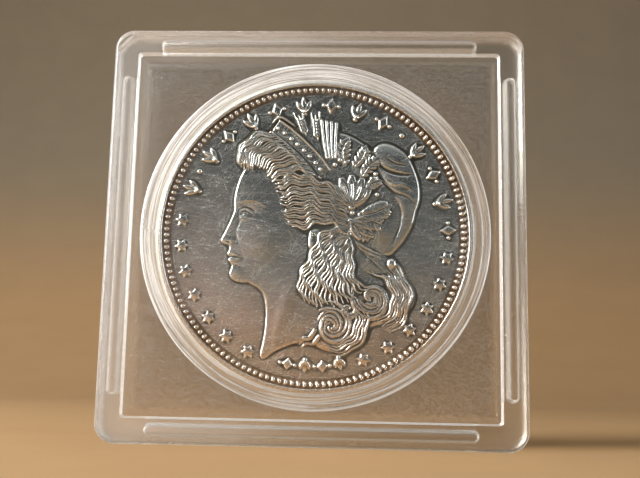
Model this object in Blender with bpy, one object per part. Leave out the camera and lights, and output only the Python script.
"""Two-inch square snap-together coin capsule: two clear moulded shells and the coin they hold.

The capsule stands on its lower edge. +Z is up, the coin's obverse looks towards -Y, and the
origin is the middle of the lower edge, on the plane where the two shells meet.

Each shell is one closed skin, made from loops of equal point count that run from the middle of
the window outwards over the outer face, round the edge, and back along the inner face to the
middle of the coin's seat. Depth is always measured from the parting plane towards the outer face.
"""

import math

import bmesh
import bpy
from mathutils import Matrix, Vector

MM = 0.001

# Whole capsule
SIDE = 50.8 * MM
THICKNESS = 6.35 * MM
CORNER_RADIUS = 2.4 * MM
EDGE_RADIUS = 0.5 * MM
PARTING_GAP = 0.05 * MM

# Coin
COIN_RADIUS = 19.05 * MM
COIN_RIM_THICKNESS = 2.4 * MM
COIN_FIELD_THICKNESS = 2.0 * MM
COIN_RIM_WIDTH = 0.5 * MM
COIN_RIM_SLOPE = 0.15 * MM
COIN_EDGE_CHAMFER = 0.1 * MM

# Raised frame round the square panel
FRAME_WIDTH = 3.15 * MM
FRAME_DRAFT = 0.12 * MM
PANEL_RECESS = 0.9 * MM
PANEL_CORNER_RADIUS = 0.3 * MM

# Round window drum, which stands up from the panel
DRUM_RADIUS = 21.2 * MM
DRUM_DRAFT = 0.1 * MM
DRUM_ROUNDING = 0.5 * MM
DRUM_SET_BACK = 0.15 * MM

# Coin's seat and the hollow round it
SEAT_PLAY = 0.2 * MM
SEAT_END_PLAY = 0.1 * MM
SEAT_LEAD_IN = 0.3 * MM
COLLAR_WALL = 1.05 * MM
PANEL_WALL = 1.35 * MM
RAIL_WALL = 3.45 * MM

# Snap ribs on the rear shell and the slots they press into
SNAP_OFFSET = 1.6 * MM
SNAP_LENGTH = 39.4 * MM
SLOT_WIDTH = 1.2 * MM
SLOT_DEPTH = 1.6 * MM
RIB_PLAY = 0.1 * MM
RIB_ROOT = 0.6 * MM

# Thumbnail notch across one corner, for prising the shells apart
NOTCH_CUT = 0.5 * MM
NOTCH_HEIGHT = 0.9 * MM

LOOP_POINTS = 96
CORNER_STEPS = 4
ROUNDING_STEPS = 3
SLOT_END_STEPS = 8
SMOOTH_BELOW = math.radians(35)

HALF_SIDE = SIDE / 2
OUTER_DEPTH = THICKNESS / 2
PANEL_DEPTH = OUTER_DEPTH - PANEL_RECESS
WINDOW_DEPTH = OUTER_DEPTH - DRUM_SET_BACK
SEAT_RADIUS = COIN_RADIUS + SEAT_PLAY
SEAT_DEPTH = COIN_RIM_THICKNESS / 2 + SEAT_END_PLAY
CENTRE = Vector((0, 0, HALF_SIDE))


def clear_scene():
    for obj in list(bpy.data.objects):
        bpy.data.objects.remove(obj)


def material(name, colour, roughness, metallic, transmission=0.0):
    made = bpy.data.materials.new(name)
    made.use_nodes = True
    shader = made.node_tree.nodes["Principled BSDF"]
    shader.inputs["Base Color"].default_value = (*colour, 1)
    shader.inputs["Roughness"].default_value = roughness
    shader.inputs["Metallic"].default_value = metallic
    shader.inputs["Transmission Weight"].default_value = transmission
    return made


def circle(radius):
    """A round loop, as points across the capsule's face."""
    turns = [2 * math.pi * i / LOOP_POINTS for i in range(LOOP_POINTS)]
    return [(radius * math.cos(t), radius * math.sin(t)) for t in turns]


def rounded_square(half, corner):
    """A square loop with round corners, whose points lie at about the same angles as a circle's."""
    straight_steps = (LOOP_POINTS // 4 - CORNER_STEPS) // 2
    reach = math.atan((half - corner) / half)
    rising = [half * math.tan(reach * i / straight_steps) for i in range(straight_steps)]
    side = [(half, across) for across in rising]
    for i in range(CORNER_STEPS + 1):
        turn = math.pi / 2 * i / CORNER_STEPS
        side.append((half - corner + corner * math.cos(turn), half - corner + corner * math.sin(turn)))
    side += [(across, half) for across in reversed(rising[1:])]
    points = []
    for quarter in range(4):
        turn = Matrix.Rotation(quarter * math.pi / 2, 2)
        points += [tuple(turn @ Vector(p)) for p in side]
    return points


def skin(name, loops):
    """One closed mesh through loops of (points, depth), with a flat cap on the first and the last."""
    mesh = bmesh.new()
    rings = [[mesh.verts.new((x, -depth, z)) for x, z in points] for points, depth in loops]
    for near, far in zip(rings, rings[1:]):
        for i in range(LOOP_POINTS):
            j = (i + 1) % LOOP_POINTS
            mesh.faces.new((near[i], near[j], far[j], far[i]))
    mesh.faces.new(rings[0])
    mesh.faces.new(rings[-1])
    bmesh.ops.recalc_face_normals(mesh, faces=mesh.faces)
    data = bpy.data.meshes.new(name)
    mesh.to_mesh(data)
    mesh.free()
    return data


def add_object(name, data):
    obj = bpy.data.objects.new(name, data)
    bpy.context.scene.collection.objects.link(obj)
    obj.location = CENTRE
    return obj


def sub_part(name, data, finish):
    data.materials.append(finish)
    data.shade_smooth()
    data.set_sharp_from_angle(angle=SMOOTH_BELOW)
    return add_object(name, data)


def shell_loops():
    """The loops of one shell half, from the middle of its window to the middle of the coin's seat."""
    loops = []
    drum_top = DRUM_RADIUS - DRUM_DRAFT
    for i in range(ROUNDING_STEPS + 1):
        turn = math.pi / 2 * i / ROUNDING_STEPS
        radius = drum_top - DRUM_ROUNDING * (1 - math.sin(turn))
        loops.append((circle(radius), WINDOW_DEPTH - DRUM_ROUNDING * (1 - math.cos(turn))))
    loops.append((circle(DRUM_RADIUS), PANEL_DEPTH))

    panel_half = HALF_SIDE - FRAME_WIDTH
    loops.append((rounded_square(panel_half, PANEL_CORNER_RADIUS), PANEL_DEPTH))
    loops.append((rounded_square(panel_half + FRAME_DRAFT, PANEL_CORNER_RADIUS), OUTER_DEPTH))
    for i in range(ROUNDING_STEPS + 1):
        turn = math.pi / 2 * i / ROUNDING_STEPS
        shrink = EDGE_RADIUS * (1 - math.sin(turn))
        outline = rounded_square(HALF_SIDE - shrink, CORNER_RADIUS - shrink)
        loops.append((outline, OUTER_DEPTH - EDGE_RADIUS * (1 - math.cos(turn))))
    loops.append((rounded_square(HALF_SIDE, CORNER_RADIUS), PARTING_GAP))

    hollow_half = HALF_SIDE - RAIL_WALL
    hollow_depth = PANEL_DEPTH - PANEL_WALL
    collar_radius = SEAT_RADIUS + COLLAR_WALL
    loops.append((rounded_square(hollow_half, PANEL_CORNER_RADIUS), PARTING_GAP))
    loops.append((rounded_square(hollow_half, PANEL_CORNER_RADIUS), hollow_depth))
    loops.append((circle(collar_radius), hollow_depth))
    loops.append((circle(collar_radius), PARTING_GAP))
    loops.append((circle(SEAT_RADIUS + SEAT_LEAD_IN), PARTING_GAP))
    loops.append((circle(SEAT_RADIUS), PARTING_GAP + SEAT_LEAD_IN))
    loops.append((circle(SEAT_RADIUS), SEAT_DEPTH))
    return loops


def bar(length, width, low, high):
    """A straight bar with round ends along X, from depth low to depth high, centred on the Y axis."""
    radius = width / 2
    reach = length / 2 - radius
    outline = []
    for end in (1, -1):
        for i in range(SLOT_END_STEPS + 1):
            turn = end * math.pi / 2 * (2 * i / SLOT_END_STEPS - 1)
            outline.append((end * (reach + radius * math.cos(turn)), radius * math.sin(turn)))
    mesh = bmesh.new()
    base = mesh.faces.new([mesh.verts.new((x, -low, z)) for x, z in outline])
    lifted = bmesh.ops.extrude_face_region(mesh, geom=[base])["geom"]
    top = [v for v in lifted if isinstance(v, bmesh.types.BMVert)]
    bmesh.ops.translate(mesh, verts=top, vec=(0, low - high, 0))
    bmesh.ops.recalc_face_normals(mesh, faces=mesh.faces)
    return mesh


def four_bars(name, length, width, low, high):
    """A helper object with one bar along each side of the square."""
    joined = bpy.data.meshes.new(name)
    whole = bmesh.new()
    lift = Matrix.Translation((0, 0, HALF_SIDE - SNAP_OFFSET))
    for quarter in range(4):
        one = bar(length, width, low, high)
        place = Matrix.Rotation(quarter * math.pi / 2, 4, "Y") @ lift
        bmesh.ops.transform(one, matrix=place, verts=one.verts)
        one.to_mesh(joined)
        whole.from_mesh(joined)
        one.free()
    whole.to_mesh(joined)
    whole.free()
    return helper(name, joined)


def corner_block(name):
    """A helper block that stands across the upper left corner, for the thumbnail notch."""
    block = bmesh.new()
    bmesh.ops.create_cube(block, size=1)
    width = 4 * CORNER_RADIUS
    height = 2 * CORNER_RADIUS
    bmesh.ops.scale(block, vec=(width, 2 * NOTCH_HEIGHT, height), verts=block.verts)
    corner_reach = (HALF_SIDE - CORNER_RADIUS) * math.sqrt(2) + CORNER_RADIUS
    lift = Matrix.Translation((0, 0, corner_reach - NOTCH_CUT + height / 2))
    place = Matrix.Rotation(-math.pi / 4, 4, "Y") @ lift
    bmesh.ops.transform(block, matrix=place, verts=block.verts)
    data = bpy.data.meshes.new(name)
    block.to_mesh(data)
    block.free()
    return helper(name, data)


def helper(name, data):
    obj = add_object(name, data)
    obj.hide_render = True
    obj.display_type = "WIRE"
    return obj


def combine(obj, other, operation):
    modifier = obj.modifiers.new(other.name, "BOOLEAN")
    modifier.operation = operation
    modifier.solver = "EXACT"
    modifier.object = other


def front_shell(finish):
    """The shell over the coin's obverse, with the four snap slots."""
    shell = sub_part("front_shell", skin("front_shell", shell_loops()), finish)
    slots = four_bars("slot_cutter", SNAP_LENGTH, SLOT_WIDTH, 0, PARTING_GAP + SLOT_DEPTH)
    combine(shell, slots, "DIFFERENCE")
    combine(shell, corner_block("front_notch_cutter"), "DIFFERENCE")
    return shell


def rear_shell(finish):
    """The same shell turned to face backwards, with four ribs that reach into the slots."""
    data = skin("rear_shell", shell_loops())
    data.transform(Matrix.Scale(-1, 4, (0, 1, 0)))
    data.flip_normals()
    shell = sub_part("rear_shell", data, finish)
    rib_length = SNAP_LENGTH - 2 * RIB_PLAY
    rib_width = SLOT_WIDTH - 2 * RIB_PLAY
    rib_top = PARTING_GAP + SLOT_DEPTH - RIB_PLAY
    ribs = four_bars("snap_ribs", rib_length, rib_width, -PARTING_GAP - RIB_ROOT, rib_top)
    combine(shell, ribs, "UNION")
    combine(shell, corner_block("rear_notch_cutter"), "DIFFERENCE")
    return shell


def coin(finish):
    """The coin: a disc with a raised rim on both faces. The fine relief isn't part of this solid."""
    rim = COIN_RIM_THICKNESS / 2
    field = COIN_FIELD_THICKNESS / 2
    chamfer = COIN_EDGE_CHAMFER
    inner = COIN_RADIUS - COIN_RIM_WIDTH
    one_face = [
        (circle(inner - COIN_RIM_SLOPE), field),
        (circle(inner), rim),
        (circle(COIN_RADIUS - chamfer), rim),
        (circle(COIN_RADIUS), rim - chamfer),
    ]
    other_face = [(points, -depth) for points, depth in reversed(one_face)]
    return sub_part("coin", skin("coin", one_face + other_face), finish)


def build():
    clear_scene()
    polystyrene = material("clear_polystyrene", (0.93, 0.92, 0.89), 0.06, 0.0, transmission=0.9)
    silver = material("coin_silver", (0.72, 0.71, 0.68), 0.28, 1.0)
    rear = rear_shell(polystyrene)
    lifted = [front_shell(polystyrene), coin(silver)]
    for obj in lifted:
        obj.parent = rear
        obj.location = (0, 0, 0)


build()
